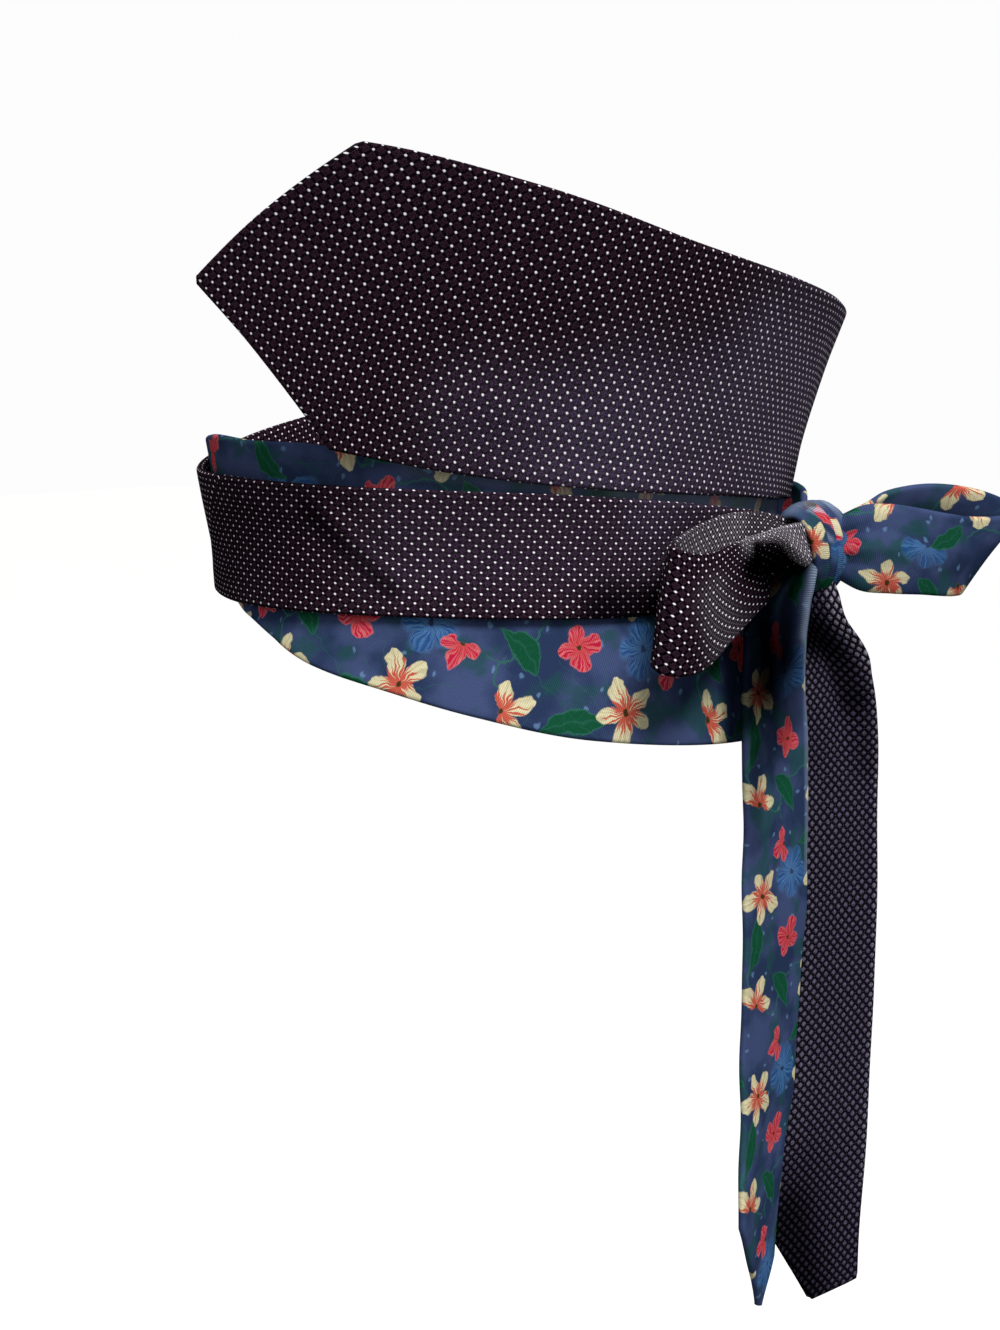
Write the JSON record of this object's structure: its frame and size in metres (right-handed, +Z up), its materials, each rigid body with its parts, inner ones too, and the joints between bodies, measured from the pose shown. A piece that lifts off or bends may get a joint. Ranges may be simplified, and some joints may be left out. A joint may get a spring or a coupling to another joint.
{
  "type": "obi belt",
  "caption": "Obi belt made of neckties, worn: broad pin-dot and floral blades wrap the waist, and their narrow ends tie in a front bow with long hanging tails.",
  "frame": {"origin": "centre of the waist that holds the belt, at mid-height of the narrow band", "axes": "+Z up; the wearer faces -Y, and the wearer's left is +X"},
  "size_m": [0.2863, 0.2523, 0.4132],
  "materials": {
    "pindot_silk": "aubergine jacquard silk with small pale pin dots on the bias and a violet sheen",
    "floral_silk": "navy twill silk printed with cream, red and blue flowers and green leaves"
  },
  "bodies": {
    "root": {"pindot_blade": "pindot_silk", "pindot_back": "pindot_silk", "pindot_band": "pindot_silk", "pindot_loop": "pindot_silk", "pindot_tail": "pindot_silk", "floral_blade": "floral_silk", "floral_back": "floral_silk", "floral_side": "floral_silk", "floral_knot": "floral_silk", "floral_loop": "floral_silk", "floral_tail": "floral_silk"}
  },
  "joints": []
}
